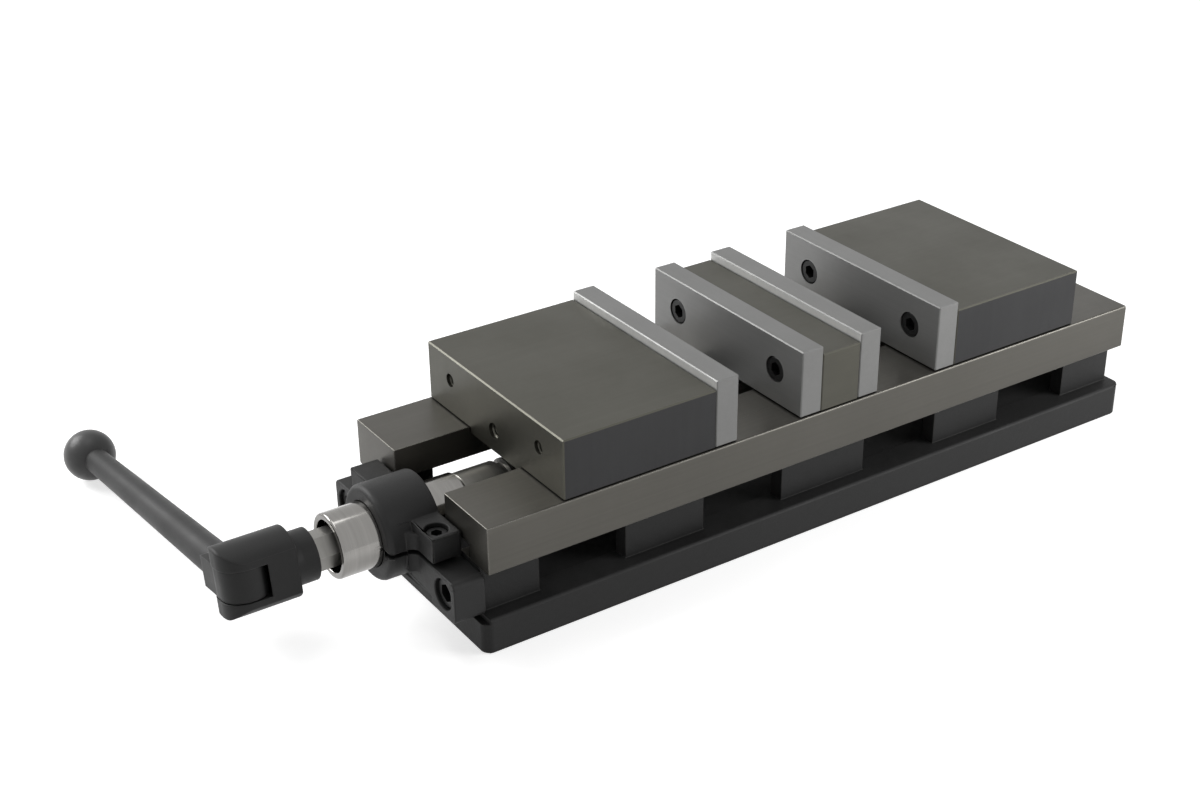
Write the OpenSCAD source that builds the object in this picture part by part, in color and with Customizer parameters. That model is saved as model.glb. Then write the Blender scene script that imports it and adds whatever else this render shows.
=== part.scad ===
// Double station machine vise: one bed, a fixed centre jaw and two jaws that
// close on it together, driven by one screw with a thread of each hand.
// +X runs along the screw away from the handle, and +Z is up. The origin is on
// the underside of the bed, at the middle of its length and width.

/* [Bed] */
// Length of the two ground rails
bed_len = 493; // [460:1:560]
// How far each rail stands out past the jaws
rail_out = 1; // [0:0.5:6]
// Height of the rail tops above the table
bed_h = 81; // [76:1:110]
// Thickness of a rail at its outer edge
rail_t = 30; // [24:1:34]
// Thickness of a rail's lip beside the slot
lip_t = 20; // [17:0.5:22]
// Width of the slot between the rails
slot_w = 58; // [54:1:62]
// Thickness of the base plate and its flanges
flange_t = 22; // [16:0.5:23]
// How far the side walls stand in from the rails
wall_inset = 10.6; // [8:0.2:16]
// Thickness of the side walls
wall_t = 10; // [8:0.5:14]
// Length of the wall at each end of the bed
end_pillar_w = 40.5; // [32:0.5:50]
// Length of the wall between two windows
pillar_w = 56; // [50:0.5:70]
// Length of the wall at the middle of the bed
mid_pillar_w = 65; // [56:1:70]

/* [Jaws] */
// Width of the jaws and their plates
jaw_w = 150; // [140:1:180]
// Length of a moving jaw behind its plate
jaw_len = 104; // [100:1:118]
// Height of the jaws above the rails
jaw_h = 38; // [34:1:60]
// Thickness of a jaw plate
plate_t = 15.5; // [13:0.5:20]
// Height of a jaw plate
plate_h = 43.5; // [36:0.5:66]
// Thickness of the fixed centre jaw
center_t = 29; // [28:0.5:40]
// Opening of each station at rest
opening = 47; // [20:1:60]
// Spacing of the two screws of a jaw plate
plate_hole_gap = 98.5; // [80:0.5:120]
// Height of those screws above the rails
plate_hole_h = 22.3; // [14:0.1:27]

/* [Screw and bearing] */
// Depth of the screw's axis below the rail tops
axis_drop = 29; // [28.5:0.1:32]
// Outer radius of the thread
thread_r = 17.5; // [16:0.25:18.5]
// Lead of the thread
lead = 5; // [3:0.5:8]
// Width across the flats of the hexagon that takes the handle
hex_key = 20.5; // [14:0.5:20.5]
// Outer radius of the bearing sleeve
sleeve_r = 19.5; // [19:0.25:22]
// How far the sleeve stands out of its bracket
sleeve_out = 24; // [16:1:40]

/* [Bracket] */
// Radius of the round housing that holds the sleeve
housing_r = 28.5; // [26:0.5:29]
// Length of the round housing
housing_len = 35; // [26:1:50]
// How far the bracket's feet stop short of the rails' sides
foot_inset = 5; // [2:0.5:8]
// Thickness of the feet
bracket_t = 19.5; // [17:0.5:24]
// Width of the slit on the bracket's near side
split_gap = 2.4; // [0.8:0.2:3]

/* [Handle] */
// Distance from the screw's axis to the centre of the ball
crank_len = 242; // [160:1:300]
// Radius of the arm where it leaves the hub
arm_root_r = 10; // [9.5:0.25:13]
// Radius of the arm where it meets the ball
arm_tip_r = 8; // [7:0.25:10]
// Radius of the ball
ball_r = 16.5; // [13:0.5:20]
// Radius of the hub around its socket
hub_r = 21; // [19.5:0.5:24]
// Radius of the hub's collar
collar_r = 15.5; // [13.5:0.25:18]

/* [Hidden] */

$fn = 48;

// Clearances
cut = 1;                 // overrun of every cut past the face it opens
slide_gap = 0.1;         // between a jaw and the rails it slides on
guide_gap = 0.2;         // between a keel or nut and each side of the slot
run_gap = 0.05;          // radial, between a shaft and its bore
thread_gap = 0.03;       // radial, between a screw and its tapped hole
hold_gap = 0.3;          // between a nut and the lips above it
seat_gap = 0.05;         // between a nut, its segment and the jaw
plate_lift = 0.5;        // between a jaw plate's foot and the rails
hex_gap = 0.15;          // on each flat of the hub's socket

// Screws: shank radius, head radius, head height and key across flats
m12_r = 6;
m12_head_r = 9;
m12_head_h = 12;
m12_key = 10;
m10_r = 5;
m10_head_r = 8;
m10_head_h = 10;
m10_key = 8;
m10_tap_r = 4.25;        // an open tapped hole, before its thread
m8_r = 4;
m8_head_r = 6.5;
m8_head_h = 8;
m8_key = 6;
m4_r = 2;
bore_gap = 0.3;          // radial, between a screw head and its counterbore
shank_gap = 0.5;         // radial, between a shank and its clearance hole
tip = 0.8;               // chamfer at a screw's end
set_key_depth = 6;       // depth of a set screw's socket
head_sink = 0.6;         // how far a head sits below its face

// Edges
edge = 0.8;              // chamfer on ground edges
plate_edge = 0.6;        // chamfer on the jaw plates
cast_round = 6;          // plan rounding of the base plate's corners
flange_edge = 1.5;       // chamfer along the flanges' top edges
foot_round = 4;          // rounding of the bracket's feet
housing_round = 3.5;     // and of the round housing's ends
ear_blend = 5;           // hollow between the housing and each ear

// Bed, inside
end_x = bed_len / 2;
half_w = jaw_w / 2 + rail_out;
wall_y = half_w - wall_inset;
cave_y = wall_y - wall_t;
half_slot = slot_w / 2;
axis_z = bed_h - axis_drop;
rail_under = bed_h - rail_t;
lip_under = bed_h - lip_t;
flange_out = 4;          // how far the base plate runs on past each end of the rails
window_shift = 2.2;      // how far the windows lie towards the handle
step_depth = 3;          // step across the base plate's front end, under the feet
foot_room = 0.5;         // between a foot and that step
boss_side = 14;          // from a bracket screw to its boss's inner face
boss_len = 30;
front_wall_t = 20;
front_wall_drop = 10;    // top of the front wall below the screw's axis
saddle_gap = 1;          // between that wall's round saddle and the sleeve
tail_wall_t = 20;
tail_wall_drop = 8;      // top of the tail wall below the rail tops
key_w = 16;              // width of the key slots under the base
key_depth = 6;
key_len = 36;
key_in = 12;             // from each end of the rails to its key slot
access_r = 8;            // holes in the base under the centre jaw's bolts

// Jaws, inside
outer_x = center_t / 2 + plate_t + opening + plate_t + jaw_len;
keel_h = 4;
plate_bolt_len = 18.5;   // shank of a plate screw, below its head
tap_depth = 20;
bolt_dx = 7.5;           // half spacing of the centre jaw's bolts along X
bolt_y = (half_slot + cave_y) / 2;
bolt_len = 22;
bolt_pocket = 9;         // depth of their counterbores in the lips

// Nut and horn, measured from the outer end of the jaw and from the rail tops
nut_u = 50;
nut_len = 50;
nut_wall = 5.5;          // under the nut's thread
chip_h = 8;              // between the nut's underside and the floor below it
nut_half = 24;           // half width of the nut under the lips
wing_side = 9.4;         // between the nut's wings and the side walls
wing_t = 12.5;
horn_back = 4;           // horn's back face from the nut's back
horn_foot = 12;          // length of the horn where it rises from the nut
horn_slope = 16;         // height, and length, of its sloping face
horn_h = 20;
horn_half = 14;
segment_r = 9;
pocket_room = 20;        // space behind the horn
pocket_gap = 1;          // space round the horn elsewhere
pocket_h = 22;
set_len = 30;
nut_low = axis_z - thread_r - nut_wall;
set_h = 10.4;            // height of the set screw above the rails

// Bearing stack, measured along X from the front end of the rails
sleeve_back = 24;        // where the sleeve's rear spigot ends
sleeve_step = 0.8;       // difference of the spigot's radius
rib_depth = 22;          // front of the sleeve's inner rib, before the rails' ends
rib_t = 8;
rib_bore = 12.35;
washer_t = 1.5;
cage_t = 3;
cage_plate = 2;
cage_edge = 0.3;
roller_count = 8;
roller_gap = 0.02;
roller_reach = 0.6;
pocket_slack = 0.15;
cup_wall = 3.9;          // wall of the sleeve round its open mouth
collar_t = 10;
collar_clear = 1;        // between the lock collar and the sleeve
spindle_r = 12;
spindle_out = 47;        // where the hexagon begins
hex_depth = 20.5;        // how far it runs into the hub
hex_end_room = 1.5;
journal_len = 30;        // length of the sleeve's rear bearing
journal_r = 15;
journal_gap = 0.5;       // between the sleeve's rear end and the screw's shoulder
stack_t = 2 * washer_t + cage_t;
thread_h = 2.6;          // depth of the thread
root_r = thread_r - thread_h;
waist_step = 0.4;        // plain shaft between the threads, below their roots
thread_in = 53.5;        // inner end of each thread from the middle of the bed
thread_end = 52;         // and its outer end from the end of the rails
crest_share = 0.37;      // shares of the lead taken by the crest and a flank
flank_share = 0.13;
tail_r = 10;
tail_len = 40.5;         // from the tail's shoulder to the end of the rails
tail_end_gap = 5;
bush_wall = 4;
bush_gap = 0.02;

// Bracket, inside
foot_out = half_w - foot_inset;
foot_len = 27;           // width of each foot
foot_in = foot_out - foot_len;
foot_low = 29;           // underside of the feet below the axis
web_low = 24;            // underside of the web between them
split_drop = 1.7;        // middle of the slit below the axis
split_high = split_drop - split_gap / 2;
split_low = split_drop + split_gap / 2;
bracket_screw_in = 13;   // from a foot's outer face to its screw
bracket_screw_y = foot_out - bracket_screw_in;
bracket_screw_drop = 15;
bracket_screw_len = 26;
foot_sink = 2.2;         // of a bracket screw's head below the foot's face
clamp_in = 18.6;         // from a bracket screw to the clamp screw beside it
clamp_y = bracket_screw_y - clamp_in;
clamp_x = 11.4;          // from the front end of the rails
clamp_len = 22;
ear_side = 9.6;          // from the clamp screw to its ear's outer face
ear_h = 15;              // top of the ears above the axis
ear_back = 1;            // between the ears and the rails' ends
clamp_pocket = 10.5;     // depth of the clamp screw's counterbore
clamp_seat = ear_h - clamp_pocket;

// Handle, inside
ball_lift = 0.3;         // between the resting ball and the table
hub_front = 71;          // hub's open end, from the front end of the rails
collar_len = 9;
cone_len = 4;
pivot_x = 113.5;
fork_half = 16;          // half width of the fork
fork_nose = 12.5;        // from the pin to the fork's front
fork_round = 14;
hub_round = 2;           // rounding of the hub's front edge
eye_t = 9.4;             // half thickness of the arm's eye
eye_half = 15.5;
eye_nose = 12;
eye_back = 15.5;
eye_round = 13.5;
slot_half = 9.75;
slot_drop = 0.25;        // middle of the slot below the arm's axis
slot_r = 20;             // hollow behind the eye
pin_r = 5;
pin_short = 0.5;         // each end of the pin short of its hole's end
pin_cover = 3;           // metal over the hole's upper end
neck_half = 11.5;        // half width of the flat neck between the eye and the arm
neck_end = 22.5;         // and its end, from the pin
stud_r = 6;
stud_len = 18;
handle_tilt = asin((axis_z - ball_r - ball_lift) / crank_len);
ball_flat = sqrt(ball_r * ball_r - arm_tip_r * arm_tip_r);

// A block with every edge chamfered, from one corner to the other
module block(low, high, c) {
    size = high - low;
    translate(low)
        intersection() {
            linear_extrude(size.z)
                chamfered([size.x, size.y], c);
            translate([0, size.y, 0])
                rotate([90, 0, 0])
                    linear_extrude(size.y)
                        chamfered([size.x, size.z], c);
            rotate([90, 0, 90])
                linear_extrude(size.x)
                    chamfered([size.y, size.z], c);
        }
}

// A rectangle with its corners cut off
module chamfered(size, c) {
    polygon([
        [c, 0], [size.x - c, 0], [size.x, c], [size.x, size.y - c],
        [size.x - c, size.y], [c, size.y], [0, size.y - c], [0, c]
    ]);
}

// A rectangle with round corners
module rounded(size, r) {
    translate([r, 0])
        square([size.x - 2 * r, size.y]);
    translate([0, r])
        square([size.x, size.y - 2 * r]);
    for (x = [r, size.x - r], y = [r, size.y - r])
        translate([x, y])
            circle(r);
}

// A plain block between two corners
module bar(low, high) {
    translate(low)
        cube(high - low);
}

// A cylinder along X between two places
module rod(x0, x1, r) {
    translate([x0, 0, 0])
        rotate([0, 90, 0])
            cylinder(h = x1 - x0, r = r);
}

// A hexagon along X with two of its flats up and down
module hexagon(x0, x1, key) {
    translate([x0, 0, 0])
        rotate([0, 90, 0])
            rotate([0, 0, 30])
                cylinder(h = x1 - x0, r = key / sqrt(3), $fn = 6);
}

// A cylinder with round ends, along X from zero
module round_rod(len, r, ease) {
    rotate([0, 90, 0])
        rotate_extrude()
            intersection() {
                translate([-r, 0])
                    rounded([2 * r, len], ease);
                square([r, len]);
            }
}

// Moves to the screw's axis
module on_axis() {
    translate([0, 0, axis_z])
        children();
}

// Moves to the front end of the rails, on the screw's axis
module at_front() {
    translate([-end_x, 0, axis_z])
        children();
}

// Draws once for each side of the middle plane
module both_sides() {
    for (side = [-1, 1])
        scale_y(side)
            children();
}

module scale_y(side) {
    if (side < 0)
        mirror([0, 1, 0])
            children();
    else
        children();
}

// Places a front station's part, or mirrors it into the rear station
module station(front) {
    if (front)
        children();
    else
        mirror([1, 0, 0])
            children();
}

// Moves to a moving jaw's outer end at the height of the rail tops
module at_jaw() {
    translate([-outer_x, 0, bed_h])
        children();
}

// A socket head screw along -Z, with the underside of its head at zero
module socket_screw(r, len, head_r, head_h, key) {
    difference() {
        union() {
            translate([0, 0, -len + tip])
                cylinder(h = len - tip + head_h - tip, r = r);
            translate([0, 0, -len])
                cylinder(h = tip, r1 = r - tip, r2 = r);
            cylinder(h = head_h - tip, r = head_r);
            translate([0, 0, head_h - tip])
                cylinder(h = tip, r1 = head_r, r2 = head_r - tip);
        }
        translate([0, 0, head_h / 2])
            cylinder(h = head_h, r = key / sqrt(3), $fn = 6);
    }
}

// A headless set screw along -Z from zero, with its socket on top
module set_screw(r, len, key, depth) {
    difference() {
        union() {
            translate([0, 0, -len + tip])
                cylinder(h = len - 2 * tip, r = r);
            translate([0, 0, -len])
                cylinder(h = tip, r1 = r - tip, r2 = r);
            translate([0, 0, -tip])
                cylinder(h = tip, r1 = r, r2 = r - tip);
        }
        translate([0, 0, -depth])
            cylinder(h = depth + cut, r = key / sqrt(3), $fn = 6);
    }
}

// Half of the rails' cross-section, on one side of the slot
module rail_profile() {
    polygon([
        [half_slot, bed_h], [half_w - edge, bed_h], [half_w, bed_h - edge],
        [half_w, rail_under + edge], [half_w - edge, rail_under],
        [cave_y, rail_under], [cave_y, lip_under], [half_slot, lip_under]
    ]);
}

// Where each window starts along the bed
inner_window_x = mid_pillar_w / 2;
window_w = (end_x - inner_window_x - pillar_w - end_pillar_w) / 2;
outer_window_x = inner_window_x + window_w + pillar_w;
window_xs = [
    -outer_window_x - window_w - window_shift, -inner_window_x - window_w - window_shift,
    inner_window_x - window_shift, outer_window_x - window_shift
];

module base_plate() {
    plate_x = end_x + flange_out;
    step_z = min(flange_t - step_depth, axis_z - foot_low - foot_room);
    difference() {
        linear_extrude(flange_t)
            translate([-plate_x, -half_w])
                rounded([2 * plate_x, 2 * half_w], cast_round);
        both_sides()
            translate([-plate_x - cut, half_w, flange_t])
                rotate([0, 90, 0])
                    linear_extrude(2 * (plate_x + cut))
                        polygon([
                            [-cut, -flange_edge - cut], [flange_edge + cut, cut],
                            [-cut, cut]
                        ]);
        for (x = [-end_x + key_in, end_x - key_in - key_len])
            bar([x, -key_w / 2, -cut], [x + key_len, key_w / 2, key_depth]);
        for (x = [-bolt_dx, bolt_dx], y = [-bolt_y, bolt_y])
            translate([x, y, -cut])
                cylinder(h = flange_t + 2 * cut, r = access_r);
        bar([-end_x + boss_len, -cave_y, nut_low - chip_h],
            [end_x - tail_wall_t, cave_y, max(flange_t, nut_low) + cut]);
        bar([-plate_x - cut, -half_w - cut, step_z], [-end_x, half_w + cut, axis_z]);
    }
}

module side_wall() {
    difference() {
        bar([-end_x, cave_y, flange_t - cut], [end_x, wall_y, rail_under + cut]);
        for (x = window_xs)
            bar([x, cave_y - cut, flange_t], [x + window_w, wall_y + cut, rail_under]);
    }
    bar([-end_x, bracket_screw_y - boss_side, flange_t - cut],
        [-end_x + boss_len, wall_y, rail_under + cut]);
}

module end_walls() {
    bar([-end_x, -cave_y - cut, flange_t - cut],
        [-end_x + front_wall_t, cave_y + cut, axis_z - front_wall_drop]);
    bar([end_x - tail_wall_t, -cave_y - cut, flange_t - cut],
        [end_x, cave_y + cut, lip_under + cut]);
    bar([end_x - tail_wall_t, -half_slot - cut, flange_t],
        [end_x, half_slot + cut, bed_h - tail_wall_drop]);
}

module bed() {
    color("dimgray")
        difference() {
            union() {
                both_sides()
                    translate([-end_x, 0, 0])
                        rotate([90, 0, 90])
                            linear_extrude(bed_len)
                                rail_profile();
                both_sides()
                    side_wall();
                base_plate();
                end_walls();
            }
            // Tail bearing, and the saddle round the sleeve
            on_axis()
                rod(end_x - tail_wall_t - cut, end_x + cut, tail_r + bush_wall);
            at_front()
                rod(-cut, sleeve_back + saddle_gap, sleeve_r - sleeve_step + saddle_gap);
            // Tapped holes for the bracket
            both_sides()
                translate([0, bracket_screw_y, -bracket_screw_drop])
                    at_front()
                        rod(-cut, bracket_screw_len, m12_r + thread_gap);
            // Holes for the centre jaw's bolts
            for (x = [-bolt_dx, bolt_dx], y = [-bolt_y, bolt_y])
                translate([x, y, lip_under]) {
                    translate([0, 0, -cut])
                        cylinder(h = lip_t + 2 * cut, r = m8_r + shank_gap);
                    translate([0, 0, -cut])
                        cylinder(h = bolt_pocket + cut, r = m8_head_r + bore_gap);
                }
        }
}

// The round housing, solid, from its front end backwards
module housing(len) {
    translate([-housing_len, 0, 0])
        round_rod(len, housing_r, housing_round);
}

// Hollows between the housing and the faces beside it, between two heights
module blends(low, high) {
    both_sides()
        translate([-bracket_t - ear_blend, 0, low])
            linear_extrude(high - low)
                difference() {
                    translate([0, housing_r - 2 * ear_blend])
                        square([2 * ear_blend, 3 * ear_blend]);
                    translate([0, housing_r + ear_blend])
                        circle(ear_blend);
                }
}

// The round housing, the web, the feet and the ears, all solid
module bracket_body() {
    difference() {
        union() {
            housing(housing_len + 2 * housing_round);
            bar([-bracket_t, -foot_in - foot_round, -web_low],
                [0, foot_in + foot_round, -split_low]);
            both_sides() {
                translate([-bracket_t, foot_in, -foot_low])
                    rotate([90, 0, 90])
                        linear_extrude(bracket_t)
                            rounded([foot_len, foot_low - split_low], foot_round);
                block([-bracket_t, 0, -split_low - 2 * edge],
                      [-ear_back, clamp_y + ear_side, ear_h], edge);
            }
            blends(-ear_h, ear_h - ear_blend);
        }
        // Flat where it is screwed to the rails' ends, and clear of them above
        bar([0, -foot_out, -housing_r - cut],
            [2 * housing_round + cut, foot_out, housing_r + cut]);
        bar([-ear_back, -foot_out, -split_low], [cut, foot_out, housing_r + cut]);
    }
}

module screw_bracket() {
    color("dimgray")
        at_front()
            difference() {
                bracket_body();
                rod(-housing_len - cut, cut, sleeve_r + run_gap);
                // Slit on the near side, which the clamp screw closes on the sleeve
                bar([-housing_len - cut, -foot_out - cut, -split_low],
                    [cut, 0, -split_high]);
                translate([-clamp_x, -clamp_y, 0]) {
                    translate([0, 0, clamp_seat - clamp_len - tip])
                        cylinder(h = clamp_len + tip, r = m8_r + thread_gap);
                    translate([0, 0, -split_high - cut])
                        cylinder(h = clamp_seat + split_high + 2 * cut, r = m8_r + shank_gap);
                    translate([0, 0, clamp_seat])
                        cylinder(h = clamp_pocket + cut, r = m8_head_r + bore_gap);
                }
                both_sides()
                    translate([0, bracket_screw_y, -bracket_screw_drop]) {
                        rod(-bracket_t - cut, cut, m12_r + shank_gap);
                        rod(-bracket_t - cut, -bracket_t + m12_head_h + foot_sink,
                            m12_head_r + bore_gap);
                    }
            }
}

module bracket_screws() {
    color("black")
        both_sides()
            translate([0, bracket_screw_y, -bracket_screw_drop])
                at_front()
                    translate([-bracket_t + m12_head_h + foot_sink, 0, 0])
                        rotate([0, -90, 0])
                            socket_screw(m12_r, bracket_screw_len, m12_head_r,
                                         m12_head_h, m12_key);
}

module clamp_screw() {
    color("black")
        at_front()
            translate([-clamp_x, -clamp_y, clamp_seat])
                socket_screw(m8_r, clamp_len, m8_head_r, m8_head_h, m8_key);
}

// Places along the bearing stack, from the front end of the rails
rib_front = -rib_depth;
rib_back = rib_front + rib_t;
shoulder_x = rib_back + stack_t;
collar_back = rib_front - stack_t;
collar_front = collar_back - collar_t;
cup_r = sleeve_r - cup_wall;

module bearing_sleeve() {
    color("silver")
        at_front()
            difference() {
                union() {
                    rod(-housing_len - sleeve_out + edge, edge, sleeve_r);
                    translate([-housing_len - sleeve_out, 0, 0])
                        rotate([0, 90, 0])
                            cylinder(h = edge, r1 = sleeve_r - edge, r2 = sleeve_r);
                    rod(0, sleeve_back, sleeve_r - sleeve_step);
                }
                rod(-housing_len - sleeve_out - cut, rib_front, cup_r);
                rod(rib_front - cut, rib_back + cut, rib_bore);
                rod(rib_back, sleeve_back - journal_len, cup_r);
                rod(rib_back + cut, sleeve_back + cut, journal_r + run_gap);
            }
}

// A flat ring along X
module ring(x0, x1, r_in, r_out) {
    difference() {
        rod(x0, x1, r_out);
        rod(x0 - cut, x1 + cut, r_in);
    }
}

// The races that stay with the sleeve
module fixed_thrust_washers() {
    color("silver")
        at_front() {
            ring(rib_back, rib_back + washer_t, rib_bore, cup_r - cage_edge);
            ring(rib_front - washer_t, rib_front, rib_bore, cup_r - cage_edge);
        }
}

// The races that turn with the screw
module turning_thrust_washers() {
    color("silver")
        at_front() {
            ring(shoulder_x - washer_t, shoulder_x, spindle_r + run_gap,
                 cup_r - 2 * cage_edge);
            ring(collar_back, collar_back + washer_t, spindle_r + run_gap,
                 cup_r - 2 * cage_edge);
        }
}

// Middle of each needle bearing
cage_xs = [rib_back + washer_t + cage_t / 2, rib_front - washer_t - cage_t / 2];
roller_r = cage_t / 2 - roller_gap;

// The needles of one bearing, grown by a clearance
module rollers(x, grow) {
    for (i = [0 : roller_count - 1])
        rotate([360 / roller_count * i, 0, 0])
            translate([x, 0, rib_bore + roller_reach - grow])
                cylinder(h = cup_r - rib_bore - 2 * roller_reach - cage_edge + 2 * grow,
                         r = roller_r + grow);
}

module thrust_cages() {
    color("goldenrod")
        at_front()
            for (x = cage_xs)
                difference() {
                    ring(x - cage_plate / 2, x + cage_plate / 2,
                         rib_bore + cage_edge / 2, cup_r - cage_edge);
                    rollers(x, pocket_slack);
                }
}

module thrust_rollers() {
    color("silver")
        at_front()
            for (x = cage_xs)
                rollers(x, 0);
}

module lock_collar() {
    color("dimgray")
        at_front()
            difference() {
                ring(collar_front, collar_back, spindle_r + run_gap, cup_r - collar_clear);
                translate([collar_back - collar_t / 2, 0, 0])
                    cylinder(h = cup_r, r = m4_r + thread_gap);
            }
}

module lock_collar_screw() {
    color("black")
        at_front()
            translate([collar_back - collar_t / 2, 0, cup_r - collar_clear - run_gap])
                set_screw(m4_r, cup_r - collar_clear - spindle_r - 2 * run_gap,
                          m4_r, m4_r / 2);
}

// Outline of one thread, as rings at its lead, along X from zero
module thread(len) {
    turns = floor(len / lead);
    start = (len - turns * lead) / 2;
    rotate([0, 90, 0])
        rotate_extrude()
            rotate(90)
                mirror([0, 1])
                    polygon(concat(
                        [[0, 0], [0, root_r]],
                        [for (i = [0 : turns - 1])
                            let (x = start + i * lead)
                            each [
                                [x, root_r], [x + flank_share * lead, thread_r],
                                [x + (flank_share + crest_share) * lead, thread_r],
                                [x + (2 * flank_share + crest_share) * lead, root_r]
                            ]],
                        [[len, root_r], [len, 0]]
                    ));
}

module lead_screw() {
    thread_out = end_x - thread_end;
    tail_start = end_x - tail_len;
    hex_end = hub_front + hex_depth - hex_end_room;
    color("gray") {
        at_front() {
            rod(sleeve_back + journal_gap, thread_end + edge, thread_r);
            rod(shoulder_x, sleeve_back + journal_gap + edge, journal_r);
            rod(-spindle_out, shoulder_x + edge, spindle_r);
        }
        in_handle()
            hexagon(-hex_end, -spindle_out + edge, hex_key);
        on_axis() {
            for (x = [-thread_out, thread_in])
                translate([x, 0, 0])
                    thread(thread_out - thread_in);
            rod(-thread_in - edge, thread_in + edge, root_r - waist_step);
            rod(thread_out - edge, tail_start, root_r);
            rod(tail_start - edge, end_x - tail_end_gap, tail_r);
        }
    }
}

module tail_bush() {
    color("goldenrod")
        on_axis()
            ring(end_x - tail_wall_t, end_x - edge, tail_r + run_gap,
                 tail_r + bush_wall - bush_gap);
}

// Tapped or bored holes at the two plate screws' places, along X
module plate_holes(x0, x1, r) {
    both_sides()
        translate([0, plate_hole_gap / 2, plate_hole_h])
            rod(x0, x1, r);
}

module center_jaw() {
    color("dimgray")
        translate([0, 0, bed_h])
            difference() {
                union() {
                    block([-center_t / 2, -jaw_w / 2, 0],
                          [center_t / 2, jaw_w / 2, jaw_h], edge);
                    bar([-center_t / 2 + edge, -half_slot + guide_gap, -keel_h],
                        [center_t / 2 - edge, half_slot - guide_gap, edge]);
                }
                plate_holes(-center_t / 2 - cut, center_t / 2 + cut, m10_r + thread_gap);
                for (x = [-bolt_dx, bolt_dx], y = [-bolt_y, bolt_y])
                    translate([x, y, -cut])
                        cylinder(h = bolt_len - lip_t + bolt_pocket + tip + cut,
                                 r = m8_r + thread_gap);
            }
}

module center_jaw_bolts() {
    color("black")
        for (x = [-bolt_dx, bolt_dx], y = [-bolt_y, bolt_y])
            translate([x, y, lip_under + bolt_pocket])
                mirror([0, 0, 1])
                    socket_screw(m8_r, bolt_len, m8_head_r, m8_head_h, m8_key);
}

// Depth of a plate screw's counterbore
plate_bore = m10_head_h + head_sink;

// A jaw plate whose back is at zero and whose clamping face looks along +X
module jaw_plate() {
    difference() {
        block([0, -jaw_w / 2, plate_lift], [plate_t, jaw_w / 2, plate_h], plate_edge);
        plate_holes(-cut, plate_t + cut, m10_r + shank_gap);
        plate_holes(plate_t - plate_bore, plate_t + cut, m10_head_r + bore_gap);
    }
}

// The two screws of a jaw plate placed as above
module plate_screws() {
    both_sides()
        translate([plate_t - plate_bore, plate_hole_gap / 2, plate_hole_h])
            rotate([0, 90, 0])
                socket_screw(m10_r, plate_bolt_len, m10_head_r, m10_head_h, m10_key);
}

// Moves a plate onto the centre jaw, looking at the rear station
module on_center() {
    translate([center_t / 2, 0, bed_h])
        children();
}

// Moves a plate onto the front moving jaw
module on_jaw() {
    at_jaw()
        translate([jaw_len, 0, 0])
            children();
}

// The horn's outline in a jaw's length and height, and the pocket round it
horn_u = nut_u + horn_back;
slope_u = horn_u + horn_foot;
horn_top_u = slope_u + horn_slope;

module horn_profile() {
    polygon([
        [horn_u, -keel_h - hold_gap], [slope_u, -keel_h - hold_gap], [slope_u, 0],
        [horn_top_u, horn_slope], [horn_top_u, horn_h], [horn_u, horn_h]
    ]);
}

module pocket_profile() {
    room = pocket_gap * sqrt(2);
    polygon([
        [horn_u - pocket_room, -keel_h - cut], [slope_u + room, -keel_h - cut],
        [slope_u + room, 0], [horn_top_u + room, horn_slope],
        [horn_top_u + room, pocket_h], [horn_u - pocket_room, pocket_h]
    ]);
}

// Moves to the middle of the horn's sloping face, with +Z along its normal
module on_slope() {
    translate([slope_u + horn_slope / 2, 0, horn_slope / 2])
        rotate([0, 135, 0])
            children();
}

module moving_jaw() {
    color("dimgray")
        at_jaw()
            difference() {
                union() {
                    block([0, -jaw_w / 2, slide_gap], [jaw_len, jaw_w / 2, jaw_h], edge);
                    bar([edge, -half_slot + guide_gap, -keel_h],
                        [jaw_len - edge, half_slot - guide_gap, slide_gap + edge]);
                }
                translate([0, horn_half + pocket_gap, 0])
                    rotate([90, 0, 0])
                        linear_extrude(2 * (horn_half + pocket_gap))
                            pocket_profile();
                on_slope()
                    sphere(segment_r + seat_gap);
                translate([0, 0, set_h])
                    rod(-cut, horn_u - pocket_room + cut, m10_r + thread_gap);
                plate_holes(-cut, tap_depth, m10_tap_r);
                plate_holes(jaw_len - tap_depth, jaw_len + cut, m10_r + thread_gap);
            }
}

module nut() {
    wing_half = cave_y - wing_side;
    color("goldenrod")
        at_jaw()
            difference() {
                union() {
                    bar([nut_u, -half_slot + guide_gap, -lip_t],
                        [nut_u + nut_len, half_slot - guide_gap, -keel_h - hold_gap]);
                    bar([nut_u, -nut_half, nut_low - bed_h],
                        [nut_u + nut_len, nut_half, -lip_t]);
                    bar([nut_u, -wing_half, -lip_t - hold_gap - wing_t],
                        [nut_u + nut_len, wing_half, -lip_t - hold_gap]);
                    translate([0, horn_half, 0])
                        rotate([90, 0, 0])
                            linear_extrude(2 * horn_half)
                                horn_profile();
                }
                translate([0, 0, -axis_drop])
                    rod(nut_u - cut, nut_u + nut_len + cut, thread_r + run_gap);
            }
}

module segment() {
    color("silver")
        at_jaw()
            on_slope()
                intersection() {
                    sphere(segment_r);
                    translate([-segment_r, -segment_r, seat_gap])
                        cube(2 * segment_r);
                }
}

module jaw_set_screw() {
    color("black")
        at_jaw()
            translate([horn_u - set_len, 0, set_h])
                rotate([0, -90, 0])
                    set_screw(m10_r, set_len, m10_r, set_key_depth);
}

// The handle's own frame: +X along the screw, +Y along the arm
module in_handle() {
    at_front()
        rotate([-handle_tilt, 0, 0])
            children();
}

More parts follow.
